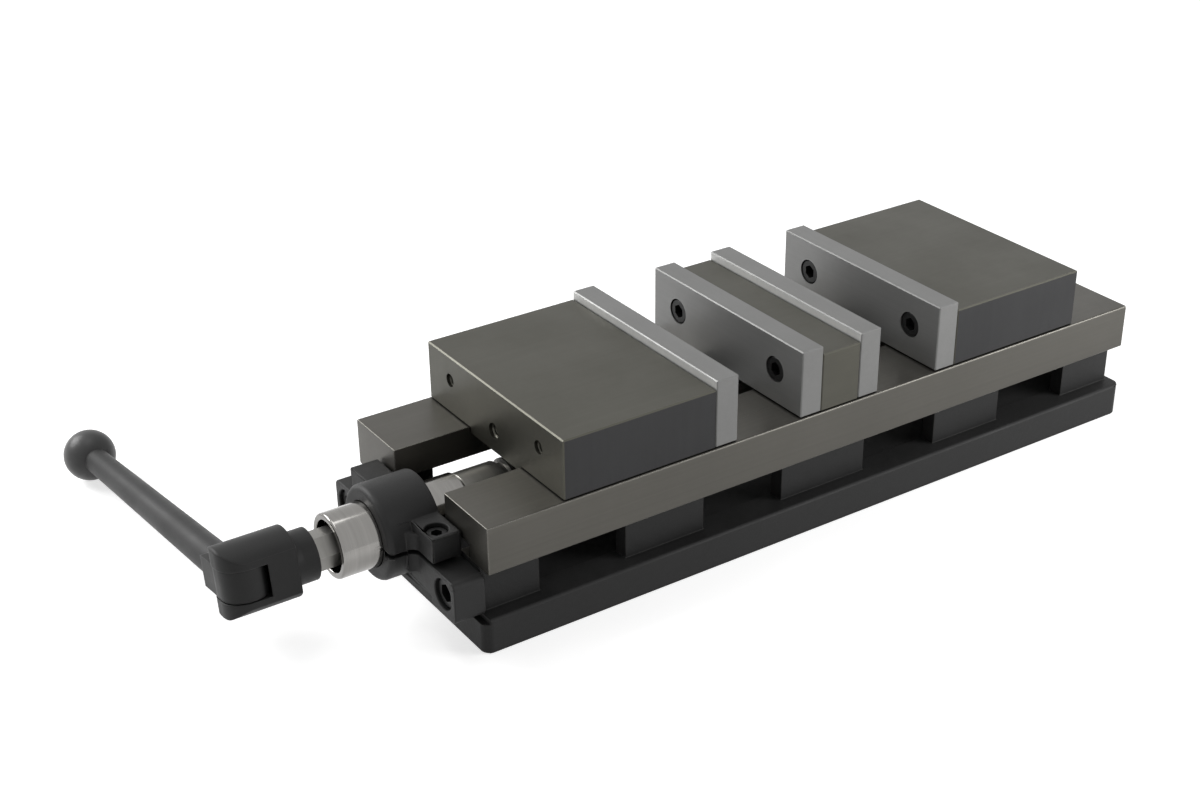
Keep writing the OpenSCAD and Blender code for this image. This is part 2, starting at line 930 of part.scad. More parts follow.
module handle_hub() {
    body_front = pivot_x + fork_nose;
    body_back = hub_front + collar_len + cone_len;
    color("dimgray")
        in_handle()
            difference() {
                union() {
                    intersection() {
                        translate([-body_front, 0, 0])
                            round_rod(body_front, hub_r, hub_round);
                        translate([-body_front, -fork_half, -hub_r])
                            linear_extrude(2 * hub_r)
                                rounded([body_front, 2 * fork_half], fork_round);
                        bar([-body_front, -hub_r, -hub_r], [-body_back, hub_r, hub_r]);
                    }
                    translate([-body_back, 0, 0])
                        rotate([0, 90, 0])
                            cylinder(h = cone_len, r1 = fork_half, r2 = collar_r);
                    rod(-body_back + cone_len, -hub_front, collar_r);
                }
                // Slot for the arm's eye
                translate([0, 0, -slot_drop]) {
                    translate([-pivot_x, 0, -slot_half])
                        cylinder(h = 2 * slot_half, r = slot_r);
                    bar([-body_front - cut, -hub_r, -slot_half],
                        [-pivot_x, hub_r, slot_half]);
                }
                // Socket for the screw's hexagon
                hexagon(-hub_front - hex_depth, -hub_front + cut, hex_key + 2 * hex_gap);
                // Blind hole for the pin, from below
                translate([-pivot_x, 0, -hub_r - cut])
                    cylinder(h = 2 * hub_r + cut - pin_cover, r = pin_r + thread_gap);
            }
}

module hub_pin() {
    color("silver")
        in_handle()
            translate([-pivot_x, 0, -hub_r + pin_short])
                cylinder(h = 2 * (hub_r - pin_short) - pin_cover, r = pin_r);
}

module handle_arm() {
    arm_end = crank_len - ball_flat;
    color("dimgray")
        in_handle()
            translate([-pivot_x, 0, 0])
                difference() {
                    union() {
                        translate([-eye_nose, -eye_half, -eye_t])
                            linear_extrude(2 * eye_t)
                                rounded([eye_nose + eye_back, 2 * eye_half], eye_round);
                        bar([-neck_half, 0, -eye_t], [neck_half, neck_end, eye_t]);
                        rotate([-90, 0, 0]) {
                            translate([0, 0, neck_end - edge])
                                cylinder(h = edge, r1 = eye_t - edge, r2 = arm_root_r);
                            translate([0, 0, neck_end])
                                cylinder(h = arm_end - neck_end, r1 = arm_root_r,
                                         r2 = arm_tip_r);
                            translate([0, 0, arm_end - cut])
                                cylinder(h = stud_len + cut, r = stud_r);
                        }
                    }
                    translate([0, 0, -eye_t - cut])
                        cylinder(h = 2 * (eye_t + cut), r = pin_r + run_gap);
                }
}

module handle_ball() {
    color("black")
        in_handle()
            translate([-pivot_x, crank_len, 0])
                rotate([-90, 0, 0])
                    difference() {
                        rotate_extrude()
                            intersection() {
                                circle(ball_r);
                                translate([0, -ball_flat])
                                    square(2 * ball_r);
                            }
                        translate([0, 0, -ball_flat - cut])
                            cylinder(h = stud_len + tip + cut, r = stud_r + thread_gap);
                    }
}

bed();
screw_bracket();
bracket_screws();
clamp_screw();
bearing_sleeve();
fixed_thrust_washers();
turning_thrust_washers();
thrust_cages();
thrust_rollers();
lock_collar();
lock_collar_screw();
lead_screw();
tail_bush();
center_jaw();
on_center() jaw_plate();  // center_rear_plate
color("black") on_center() plate_screws();  // center_rear_plate_screws
mirror([1, 0, 0]) on_center() jaw_plate();  // center_front_plate
color("black") mirror([1, 0, 0]) on_center() plate_screws();  // center_front_plate_screws
center_jaw_bolts();
station(true) moving_jaw();  // front_jaw
station(true) on_jaw() jaw_plate();  // front_jaw_plate
color("black") station(true) on_jaw() plate_screws();  // front_plate_screws
station(true) nut();  // front_nut
station(true) segment();  // front_segment
station(true) jaw_set_screw();  // front_set_screw
station(false) moving_jaw();  // rear_jaw
station(false) on_jaw() jaw_plate();  // rear_jaw_plate
color("black") station(false) on_jaw() plate_screws();  // rear_plate_screws
station(false) nut();  // rear_nut
station(false) segment();  // rear_segment
station(false) jaw_set_screw();  // rear_set_screw
handle_hub();
hub_pin();
handle_arm();
handle_ball();
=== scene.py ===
# Double station machine vise on a white studio floor: ground iron rails and jaws,
# a charcoal painted casting, steel jaw plates, one screw and a folding crank.

from math import asin, cos, pi, radians, sin, sqrt

import bmesh
import bpy
from mathutils import Matrix, Vector


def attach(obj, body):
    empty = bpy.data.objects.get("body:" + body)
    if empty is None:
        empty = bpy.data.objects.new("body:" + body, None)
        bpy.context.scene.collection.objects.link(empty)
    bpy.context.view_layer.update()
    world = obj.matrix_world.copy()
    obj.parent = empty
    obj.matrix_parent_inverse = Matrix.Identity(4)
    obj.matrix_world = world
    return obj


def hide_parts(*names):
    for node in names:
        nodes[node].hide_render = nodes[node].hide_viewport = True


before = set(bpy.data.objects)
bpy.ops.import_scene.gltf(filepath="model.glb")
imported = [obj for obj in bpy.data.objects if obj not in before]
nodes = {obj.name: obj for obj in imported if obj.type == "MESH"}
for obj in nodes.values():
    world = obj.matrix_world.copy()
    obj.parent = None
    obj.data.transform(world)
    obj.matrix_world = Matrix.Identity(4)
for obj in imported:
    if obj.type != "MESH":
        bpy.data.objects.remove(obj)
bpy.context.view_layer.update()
scene = bpy.context.scene
MM = 0.001

# Camera: a short telephoto lens, above the handle end and on the near side.
CAMERA_PLACE = (-671.4 * MM, -830.8 * MM, 617.7 * MM)
CAMERA_AZIMUTH = radians(-33.442)
CAMERA_ELEVATION = radians(27.975)
CAMERA_ROLL = radians(-0.67)
camera_data = bpy.data.cameras.new("camera")
camera_data.sensor_width = 36
camera_data.lens = 56.75
camera_data.clip_start = 0.05
camera_data.clip_end = 50
camera = bpy.data.objects.new("camera", camera_data)
scene.collection.objects.link(camera)
scene.camera = camera
back = Vector((sin(CAMERA_AZIMUTH) * cos(CAMERA_ELEVATION),
               -cos(CAMERA_AZIMUTH) * cos(CAMERA_ELEVATION),
               sin(CAMERA_ELEVATION)))
right = Vector((0, 0, 1)).cross(back).normalized()
up = back.cross(right)
rolled_right = cos(CAMERA_ROLL) * right + sin(CAMERA_ROLL) * up
rolled_up = -sin(CAMERA_ROLL) * right + cos(CAMERA_ROLL) * up
turn = Matrix((rolled_right, rolled_up, back)).transposed().to_4x4()
camera.matrix_world = Matrix.Translation(CAMERA_PLACE) @ turn


# Studio: three soft boxes and a little light from all round. The floor and the backdrop
# are white to the camera and in reflections, and matt faces get no more light for it.
SKY_LIGHT = 0.13
WHITE = 1.0
PAPER_WHITE = 0.8
FLOOR_REACH = 9
FLOOR_DROP = 0.3 * MM
LIFT_NEAR = 0.7
NEAR_EDGE = 0.5
FAR_EDGE = 1.3
LAMPS_AIM = (0, 0, 60 * MM)


def add(tree, kind, inputs=None, **settings):
    """Adds a node, sets its options, and sets or links its inputs."""
    prefix = "" if kind.startswith("NodeGroup") else "ShaderNode"
    made = tree.nodes.new(prefix + kind)
    for name, value in settings.items():
        setattr(made, name, value)
    for name, value in (inputs or {}).items():
        if isinstance(value, bpy.types.NodeSocket):
            tree.links.new(value, made.inputs[name])
        else:
            made.inputs[name].default_value = value
    return made


def calculate(tree, operation, first, second=0.0):
    """The result of one Math node."""
    return add(tree, "Math", {0: first, 1: second}, operation=operation).outputs[0]


def seen_or_mirrored(tree):
    """1 for rays from the camera and for those that gloss or glass sends on, else 0."""
    path = add(tree, "LightPath").outputs
    glossy = calculate(tree, "MAXIMUM", path["Is Camera Ray"], path["Is Glossy Ray"])
    return calculate(tree, "MAXIMUM", glossy, path["Is Transmission Ray"])


world = bpy.data.worlds.new("studio")
scene.world = world
world.use_nodes = True
sky = world.node_tree
sky.nodes.clear()
strength = add(sky, "MapRange", {"Value": seen_or_mirrored(sky),
                                 "To Min": SKY_LIGHT, "To Max": WHITE})
backdrop = add(sky, "Background", {"Color": (1, 1, 1, 1), "Strength": strength.outputs[0]})
add(sky, "OutputWorld", {"Surface": backdrop.outputs[0]})
scene.view_settings.view_transform = "Standard"

floor_mesh = bpy.data.meshes.new("floor")
floor_mesh.from_pydata([(x * FLOOR_REACH, y * FLOOR_REACH, -FLOOR_DROP)
                        for x, y in ((-1, -1), (1, -1), (1, 1), (-1, 1))],
                       [], [(0, 1, 2, 3)])
floor = bpy.data.objects.new("floor", floor_mesh)
scene.collection.objects.link(floor)
paper = bpy.data.materials.new("white_paper")
paper.use_nodes = True
tree = paper.node_tree
tree.nodes.clear()
matt = add(tree, "BsdfDiffuse", {"Color": (PAPER_WHITE, PAPER_WHITE, PAPER_WHITE, 1)})
reach = add(tree, "VectorMath", {0: add(tree, "TexCoord").outputs["Object"]},
            operation="LENGTH").outputs["Value"]
lifted = add(tree, "MapRange", {"Value": reach, "From Min": NEAR_EDGE,
                                "From Max": FAR_EDGE, "To Min": LIFT_NEAR,
                                "To Max": WHITE})
lift = add(tree, "Emission", {"Color": (1, 1, 1, 1), "Strength": calculate(
    tree, "MULTIPLY", seen_or_mirrored(tree), lifted.outputs[0])})
both = add(tree, "AddShader", {0: matt.outputs[0], 1: lift.outputs[0]})
add(tree, "OutputMaterial", {"Surface": both.outputs[0]})
floor_mesh.materials.append(paper)


def soft_box(name, place, size, watts):
    """A rectangular area lamp that looks at the middle of the vise."""
    lamp = bpy.data.lights.new(name, "AREA")
    lamp.shape = "RECTANGLE"
    lamp.size, lamp.size_y = size
    lamp.energy = watts
    made = bpy.data.objects.new(name, lamp)
    scene.collection.objects.link(made)
    aim = Vector(LAMPS_AIM) - Vector(place)
    made.location = place
    made.rotation_euler = aim.to_track_quat("-Z", "Y").to_euler()
    made.visible_camera = False


soft_box("top_light", place=(-0.3, 0.25, 1.25), size=(0.6, 0.5), watts=2.8)
soft_box("left_light", place=(-0.85, 1.05, 0.75), size=(0.8, 0.6), watts=16)
soft_box("right_light", place=(0.65, -0.65, 0.38), size=(0.5, 0.4), watts=6)

# Bed: one iron casting, painted charcoal, whose two rails are ground on top, inside
# and along their sides. Everything else is bolted to it or slides on it.
RAIL_UNDER = 51 * MM
FACE_SLACK = 0.1 * MM
GRAIN_SCALE = 1100.0
SWELL_HEIGHT = 1.6
FINE_LINE_HEIGHT = 0.5
BROAD_LINE_HEIGHT = 0.6


def shader_group(name, inputs, outputs):
    """A new shader group with those inputs and outputs, and its two end nodes."""
    made = bpy.data.node_groups.new(name, "ShaderNodeTree")
    for label, value in inputs.items():
        kind = "NodeSocketVector" if isinstance(value, tuple) else "NodeSocketFloat"
        socket = made.interface.new_socket(label, in_out="INPUT", socket_type=kind)
        socket.default_value = value
    for label in outputs:
        made.interface.new_socket(label, in_out="OUTPUT", socket_type="NodeSocketFloat")
    return made, add(made, "NodeGroupInput"), add(made, "NodeGroupOutput")


def noise(tree, place, scale, detail, roughness):
    """A noise pattern's value, from 0 to 1."""
    return add(tree, "TexNoise", {"Vector": place, "Scale": scale, "Detail": detail,
                                  "Roughness": roughness}).outputs[0]


def spread(tree, value, low, high, to_low=0.0, to_high=1.0):
    """The value's range from low to high, spread over another range."""
    return add(tree, "MapRange", {"Value": value, "From Min": low, "From Max": high,
                                  "To Min": to_low, "To Max": to_high}).outputs[0]


def share_of(tree, value, share):
    """A share of a value, to make a mask or a height weaker."""
    return calculate(tree, "MULTIPLY", value, share)


def build_cast_skin():
    """Sand cast skin under paint: fine grain, soft swells, and soiled patches."""
    made, given, out = shader_group("cast skin", {"Grain": 1.0},
                                    ("Height", "Patches", "Specks"))
    place = add(made, "TexCoord").outputs["Object"]
    grain = calculate(made, "MULTIPLY", given.outputs["Grain"], GRAIN_SCALE)
    fine = noise(made, place, scale=grain, detail=3.0, roughness=0.6)
    swells = noise(made, place, scale=160.0, detail=3.0, roughness=0.55)
    patches = noise(made, place, scale=28.0, detail=5.0, roughness=0.6)
    pits = add(made, "TexVoronoi", {"Vector": place, "Scale": 420.0}).outputs["Distance"]
    height = calculate(made, "MULTIPLY_ADD", swells, SWELL_HEIGHT)
    made.links.new(fine, height.node.inputs[2])
    made.links.new(height, out.inputs["Height"])
    made.links.new(spread(made, patches, low=0.35, high=0.68), out.inputs["Patches"])
    made.links.new(spread(made, pits, low=0.16, high=0.06), out.inputs["Specks"])
    return made


def build_grinding():
    """Marks of a grinding wheel along one direction, and clouds of oil and handling."""
    made, given, out = shader_group("grinding", {"Along": (1.0, 1.0, 1.0)},
                                    ("Lines", "Clouds"))
    place = add(made, "TexCoord").outputs["Object"]
    drawn_out = add(made, "VectorMath", {0: place, 1: given.outputs["Along"]},
                    operation="MULTIPLY").outputs[0]
    fine = noise(made, drawn_out, scale=1.0, detail=4.0, roughness=0.7)
    broad = noise(made, drawn_out, scale=0.22, detail=2.0, roughness=0.5)
    clouds = noise(made, place, scale=16.0, detail=5.0, roughness=0.62)
    lines = calculate(made, "MULTIPLY_ADD", broad, BROAD_LINE_HEIGHT)
    made.links.new(share_of(made, fine, FINE_LINE_HEIGHT), lines.node.inputs[2])
    made.links.new(lines, out.inputs["Lines"])
    made.links.new(spread(made, clouds, low=0.32, high=0.7), out.inputs["Clouds"])
    return made


def build_edge_wear_and_highlight():
    """1 along edges, broken up, and 0 elsewhere: wear, and painted edge highlights."""
    made, given, out = shader_group("edge wear and highlight", {"Width": 0.8 * MM}, ("Edge",))
    rounded = add(made, "Bevel", {"Radius": given.outputs["Width"]}, samples=6).outputs[0]
    plain = add(made, "NewGeometry").outputs["Normal"]
    likeness = add(made, "VectorMath", {0: rounded, 1: plain}, operation="DOT_PRODUCT")
    turned = calculate(made, "SUBTRACT", 1.0, likeness.outputs["Value"])
    place = add(made, "TexCoord").outputs["Object"]
    breaks = noise(made, place, scale=210.0, detail=4.0, roughness=0.7)
    broken = spread(made, breaks, low=0.3, high=0.62, to_low=0.35)
    edge = calculate(made, "MULTIPLY", spread(made, turned, low=0.01, high=0.12), broken)
    made.links.new(edge, out.inputs["Edge"])
    return made


def build_crevice_dirt_and_shade():
    """1 in joints and corners and 0 in the open: oil and dust, and painted shade."""
    made, given, out = shader_group("crevice_dirt_and_shade", {"Reach": 2 * MM}, ("Dirt_and_shade",))
    open_sky = add(made, "AmbientOcclusion", {"Distance": given.outputs["Reach"]},
                   samples=8).outputs["AO"]
    place = add(made, "TexCoord").outputs["Object"]
    breaks = noise(made, place, scale=90.0, detail=4.0, roughness=0.6)
    broken = spread(made, breaks, low=0.3, high=0.65, to_low=0.7)
    # Occluded corners are marked for darkening: dirt, and painted shade.
    dirt_and_shade = calculate(made, "MULTIPLY", spread(made, open_sky, low=0.85, high=0.35), broken)
    made.links.new(dirt_and_shade, out.inputs["Dirt_and_shade"])
    return made


cast_skin = build_cast_skin()
grinding = build_grinding()
edge_wear_and_highlight = build_edge_wear_and_highlight()
crevice_dirt_and_shade = build_crevice_dirt_and_shade()


def use_group(tree, group, **values):
    """Places a shader group in a material, with its own values."""
    made = add(tree, "Group", node_tree=group)
    for name, value in values.items():
        made.inputs[name].default_value = value
    return made.outputs


def blend_colours(tree, factor, first, second):
    """Two colours, mixed by a factor that varies over the surface."""
    made = add(tree, "Mix", data_type="RGBA")
    for index, value in ((0, factor), (6, first), (7, second)):
        if isinstance(value, bpy.types.NodeSocket):
            tree.links.new(value, made.inputs[index])
        elif index:
            made.inputs[index].default_value = (*value, 1)
        else:
            made.inputs[index].default_value = value
    return made.outputs[2]


def shade(colour, times):
    """A colour made lighter or darker."""
    return [times * part for part in colour]


def start_material(name):
    """An empty material and its tree."""
    made = bpy.data.materials.new(name)
    made.use_nodes = True
    made.node_tree.nodes.clear()
    return made, made.node_tree


def close_material(tree, colour, roughness, metallic, height, depth, specular=0.5,
                   soften=0):
    """Joins colour, roughness and height to the shader, with a bump of that depth."""
    bump = add(tree, "Bump", {"Height": height, "Strength": 1.0, "Distance": depth})
    if soften:
        soft = add(tree, "Bevel", {"Radius": soften}, samples=8)
        tree.links.new(soft.outputs[0], bump.inputs["Normal"])
    shader = add(tree, "BsdfPrincipled", {
        "Base Color": colour, "Roughness": roughness, "Metallic": metallic,
        "Normal": bump.outputs[0], "Specular IOR Level": specular})
    add(tree, "OutputMaterial", {"Surface": shader.outputs[0]})


def painted_casting(name, paint, bare, grain, depth, roughness, specular, soften=0):
    """Satin casting paint: dusty patches, dirt and painted shade in corners, worn edges
    and painted edge highlights.
    """
    made, tree = start_material(name)
    skin = use_group(tree, cast_skin, Grain=grain)
    edge = use_group(tree, edge_wear_and_highlight, Width=0.9 * MM)["Edge"]
    dirt_and_shade = use_group(tree, crevice_dirt_and_shade, Reach=6 * MM)["Dirt_and_shade"]
    dusty = blend_colours(tree, share_of(tree, skin["Patches"], 0.5), paint,
                          shade(paint, 1.6))
    specked = blend_colours(tree, share_of(tree, skin["Specks"], 0.35), dusty,
                            shade(paint, 0.45))
    # Corners darken with dirt and with painted shade.
    soiled_and_shaded = blend_colours(tree, share_of(tree, dirt_and_shade, 0.8), specked, shade(paint, 0.3))
    # Edges lighten where the paint is worn, and as a painted highlight.
    colour = blend_colours(tree, share_of(tree, edge, 0.4), soiled_and_shaded, bare)
    rough = spread(tree, skin["Patches"], 0.0, 1.0, roughness, roughness + 0.14)
    close_material(tree, colour, rough, metallic=0.0, height=skin["Height"], depth=depth,
                   specular=specular, soften=soften)
    return made


def ground_metal(name, colour, along, metallic, roughness, depth, contrast=0.06,
                 worn_edge_highlight=None):
    """Ground or milled metal: faint lines, clouds, dirt and painted shade in joints, and
    painted edge highlights.
    """
    made, tree = start_material(name)
    marks = use_group(tree, grinding, Along=along)
    dirt_and_shade = use_group(tree, crevice_dirt_and_shade, Reach=1.5 * MM)["Dirt_and_shade"]
    lined = blend_colours(tree, spread(tree, marks["Lines"], low=0.3, high=0.8),
                          shade(colour, 1 - contrast), shade(colour, 1 + contrast))
    clouded = blend_colours(tree, share_of(tree, marks["Clouds"], 0.35), lined,
                            shade(colour, 0.78))
    # Joints go nearly black: dirt, and painted shade.
    shown = blend_colours(tree, share_of(tree, dirt_and_shade, 0.9), clouded, shade(colour, 0.12))
    # A lighter edge colour: worn metal, and a painted highlight.
    if worn_edge_highlight:
        edge = use_group(tree, edge_wear_and_highlight, Width=0.7 * MM)["Edge"]
        shown = blend_colours(tree, share_of(tree, edge, 0.85), shown, worn_edge_highlight)
    rough = spread(tree, marks["Clouds"], 0.0, 1.0, roughness, roughness + 0.1)
    close_material(tree, shown, rough, metallic, height=marks["Lines"], depth=depth)
    return made


def dress(name, *materials):
    """Gives a CAD node its materials."""
    mesh = nodes[name].data
    mesh.materials.clear()
    for made in materials:
        mesh.materials.append(made)
    return mesh


def ease_edges(name, width, segments=2):
    """Rounds a CAD node's edges that are left sharp."""
    piece = nodes[name]
    weld = piece.modifiers.new("weld", "WELD")
    weld.merge_threshold = 0.002 * MM
    ease = piece.modifiers.new("ease", "BEVEL")
    ease.width = width
    ease.segments = segments
    ease.limit_method = "ANGLE"
    ease.angle_limit = radians(35)
    ease.use_clamp_overlap = False
    even = piece.modifiers.new("even", "WEIGHTED_NORMAL")
    even.keep_sharp = False


charcoal = painted_casting("charcoal_casting", paint=(0.02, 0.02, 0.02),
                           bare=(0.09, 0.088, 0.08), grain=1.0, depth=0.1 * MM,
                           roughness=0.5, specular=0.2)
# The rails' edges get a near-white painted highlight, partly worn metal.
ground_rail = ground_metal("ground_rail", colour=(0.095, 0.091, 0.081),
                           along=(6.0, 1500.0, 1500.0), metallic=0.9, roughness=0.36,
                           depth=0.003 * MM, contrast=0.08, worn_edge_highlight=(0.7, 0.68, 0.63))
bed_mesh = dress("bed", charcoal, ground_rail)
for face in bed_mesh.polygons:
    face.material_index = 1 if face.center.z > RAIL_UNDER + FACE_SLACK else 0
ease_edges("bed", width=0.6 * MM)

# Bracket: one painted casting, split on its near side, where a screw closes it on the
# bearing sleeve. Two more screws hold it to the bed's end.
bracket_paint = painted_casting("bracket_casting", paint=(0.018, 0.018, 0.018),
                                bare=(0.09, 0.09, 0.085), grain=1.2, depth=0.08 * MM,
                                roughness=0.46, specular=0.25)
dress("screw_bracket", bracket_paint)
ease_edges("screw_bracket", width=0.8 * MM, segments=3)


def oxide_black(name, colour, roughness):
    """Black oxide on steel, oiled, with brighter edges where a key has rubbed."""
    made, tree = start_material(name)
    skin = use_group(tree, cast_skin, Grain=1.6)
    edge = use_group(tree, edge_wear_and_highlight, Width=0.35 * MM)["Edge"]
    mottled = blend_colours(tree, skin["Patches"], colour, shade(colour, 1.7))
    shown = blend_colours(tree, share_of(tree, edge, 0.4), mottled, (0.08, 0.08, 0.08))
    rough = spread(tree, skin["Patches"], 0.0, 1.0, roughness, roughness + 0.15)
    close_material(tree, shown, rough, metallic=0.3, height=skin["Height"],
                   depth=0.015 * MM, specular=0.3)
    return made


black_screw = oxide_black("black_screw", colour=(0.008, 0.008, 0.008), roughness=0.34)
for name in ("bracket_screws", "clamp_screw"):
    dress(name, black_screw)

# Bearing sleeve: turned and polished steel with rounded rims, and a needle thrust
# bearing on each side of its inner rib. The screw's collar is locked in its open mouth.
AXIS_HEIGHT = 52 * MM
FRONT_END = -246.5 * MM
SLEEVE_FRONT = FRONT_END - 59 * MM
SLEEVE_REAR = FRONT_END + 24 * MM
SLEEVE_RADIUS = 19.5 * MM
SPIGOT_RADIUS = 18.7 * MM
BEARING_BORE = 15.6 * MM
JOURNAL_BORE = 15.05 * MM
JOURNAL_FRONT = FRONT_END - 6 * MM
RIB_BORE = 12.35 * MM
RIB_FRONT = FRONT_END - 22 * MM
RIB_REAR = FRONT_END - 14 * MM
RIM_EASE = 1.4 * MM
MOUTH_EASE = 0.7 * MM
SPIGOT_EASE = 0.8 * MM
SMOOTH_BELOW = 28


def new_piece(name, shape, material, body):
    """Makes an object of a finished bmesh, and rides it on a body."""
    bmesh.ops.recalc_face_normals(shape, faces=shape.faces)
    mesh = bpy.data.meshes.new(name)
    shape.to_mesh(mesh)
    shape.free()
    mesh.materials.append(material)
    piece = bpy.data.objects.new(name, mesh)
    scene.collection.objects.link(piece)
    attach(piece, body)
    return piece


def smooth_by_angle(piece, degrees):
    """Smooth faces, with sharp edges above that angle."""
    limit = radians(degrees)
    mesh = piece.data
    for face in mesh.polygons:
        face.use_smooth = True
    shape = bmesh.new()
    shape.from_mesh(mesh)
    for edge in shape.edges:
        edge.smooth = edge.calc_face_angle(pi) < limit
    shape.to_mesh(mesh)
    shape.free()


def join_rings(shape, rings):
    """Faces between each closed ring of points and the next."""
    for near, far in zip(rings, rings[1:]):
        for i, corner in enumerate(near):
            j = (i + 1) % len(near)
            shape.faces.new((corner, near[j], far[j], far[i]))


def turn_rings(shape, outline, steps=96):
    """Rings about the screw's axis, one for each place along it and radius."""
    return [[shape.verts.new((x, radius * cos(2 * pi * i / steps),
                              AXIS_HEIGHT + radius * sin(2 * pi * i / steps)))
             for i in range(steps)] for x, radius in outline]


def rounded_corner(x, radius, ease, out_x, out_r, steps=5):
    """Places round a turned corner; out_x and out_r are the signs it points along."""
    made = []
    for i in range(steps + 1):
        angle = pi / 2 * i / steps
        made.append((x - out_x * ease * (1 - sin(angle)),
                     radius - out_r * ease * (1 - cos(angle))))
    return made


def build_sleeve():
    """The sleeve's wall, its rib and its long rear bearing, as one closed outline."""
    outline = [(FRONT_END, SPIGOT_RADIUS), (FRONT_END, SLEEVE_RADIUS)]
    outline += rounded_corner(SLEEVE_FRONT, SLEEVE_RADIUS, RIM_EASE, out_x=-1, out_r=1)
    mouth = rounded_corner(SLEEVE_FRONT, BEARING_BORE, MOUTH_EASE, out_x=-1, out_r=-1)
    outline += mouth[::-1]
    outline += [(RIB_FRONT, BEARING_BORE), (RIB_FRONT, RIB_BORE),
                (RIB_REAR, RIB_BORE), (RIB_REAR, BEARING_BORE),
                (JOURNAL_FRONT, BEARING_BORE), (JOURNAL_FRONT, JOURNAL_BORE),
                (SLEEVE_REAR, JOURNAL_BORE), (SLEEVE_REAR, SPIGOT_RADIUS - SPIGOT_EASE),
                (SLEEVE_REAR - SPIGOT_EASE, SPIGOT_RADIUS)]
    shape = bmesh.new()
    rings = turn_rings(shape, outline)
    join_rings(shape, rings + rings[:1])
    return shape


bright_turned = ground_metal("bright_turned", colour=(0.26, 0.253, 0.242),
                             along=(1800.0, 30.0, 30.0), metallic=1.0, roughness=0.12,
                             depth=0.002 * MM, contrast=0.14)
sleeve = new_piece("turned_sleeve", build_sleeve(), bright_turned, "base")
smooth_by_angle(sleeve, SMOOTH_BELOW)
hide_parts("bearing_sleeve")
for name in ("fixed_thrust_washers", "turning_thrust_washers", "thrust_rollers"):
    dress(name, bright_turned)
bronze = ground_metal("bronze", colour=(0.42, 0.27, 0.11), along=(1200.0, 40.0, 40.0),
                      metallic=0.9, roughness=0.34, depth=0.004 * MM, contrast=0.15)
for name in ("thrust_cages", "tail_bush"):
    dress(name, bronze)
# Its lighter edges are a painted highlight, partly wear.
oiled_steel = ground_metal("oiled_steel", colour=(0.24, 0.235, 0.222),
                           along=(900.0, 60.0, 60.0), metallic=0.9, roughness=0.36,
                           depth=0.004 * MM, contrast=0.12, worn_edge_highlight=(0.3, 0.29, 0.27))
dress("lock_collar", oiled_steel)
dress("lock_collar_screw", black_screw)

# Lead screw: one turned bar. Its front thread is left hand and its rear thread right
# hand, so that both jaws close together. A hexagon on its front end takes the handle.
CRANK_LENGTH = 242 * MM
BALL_RADIUS = 16.5 * MM
BALL_CLEARANCE = 0.3 * MM
HANDLE_TILT = asin((AXIS_HEIGHT - BALL_RADIUS - BALL_CLEARANCE) / CRANK_LENGTH)
ACROSS_FLATS = 20.5 * MM
HEXAGON_FRONT = FRONT_END - 90 * MM
HEXAGON_REAR = FRONT_END - 46.2 * MM
SPINDLE_RADIUS = 12 * MM
SPINDLE_FRONT = FRONT_END - 47 * MM
OILED_TO = FRONT_END - 10 * MM
JOURNAL_RADIUS = 15 * MM
SCREW_JOURNAL_FRONT = FRONT_END - 8 * MM
THREADED_FRONT = FRONT_END + 24.5 * MM
THREADED_PLAIN_END = FRONT_END + 51 * MM
ROOT_FRONT = FRONT_END + 52.5 * MM
MIDDLE_HALF = 53.5 * MM
MIDDLE_RADIUS = 14.5 * MM
MIDDLE_STEP = 0.01 * MM
TAIL_FRONT = -FRONT_END - 40.5 * MM
TAIL_REAR = -FRONT_END - 5 * MM
TAIL_RADIUS = 10 * MM
SCREW_EASE = 0.8 * MM
THREAD_RADIUS = 17.5 * MM
THREAD_ROOT = 14.9 * MM
THREAD_SUNK = THREAD_ROOT - 0.15 * MM
LEAD = 5 * MM
FLANK = 0.13 * LEAD
CREST = 0.37 * LEAD
THREAD_TURNS = 27.5
FRONT_THREAD = FRONT_END + 52 * MM
REAR_THREAD = 53.7 * MM
TURN_STEPS = 48


def wind_thread(shape, start, turns, lead, profile, hand, centre=(0, AXIS_HEIGHT)):
    """Winds a closed ridge about an axis along X, running out to nothing at its ends."""
    foot = profile[0][1]
    steps = round(turns * TURN_STEPS)
    rings = []
    for k in range(steps + 1):
        angle = hand * 2 * pi * k / TURN_STEPS
        run_out = min(1.0, 2 * min(k, steps - k) / TURN_STEPS)
        ring = []
        for along, radius in profile:
            reach = foot + (radius - foot) * run_out
            ring.append(shape.verts.new((start + lead * k / TURN_STEPS + along,
                                         centre[0] + reach * cos(angle),
                                         centre[1] + reach * sin(angle))))
        rings.append(ring)
    join_rings(shape, rings)
    shape.faces.new(rings[0])
    shape.faces.new(rings[-1])


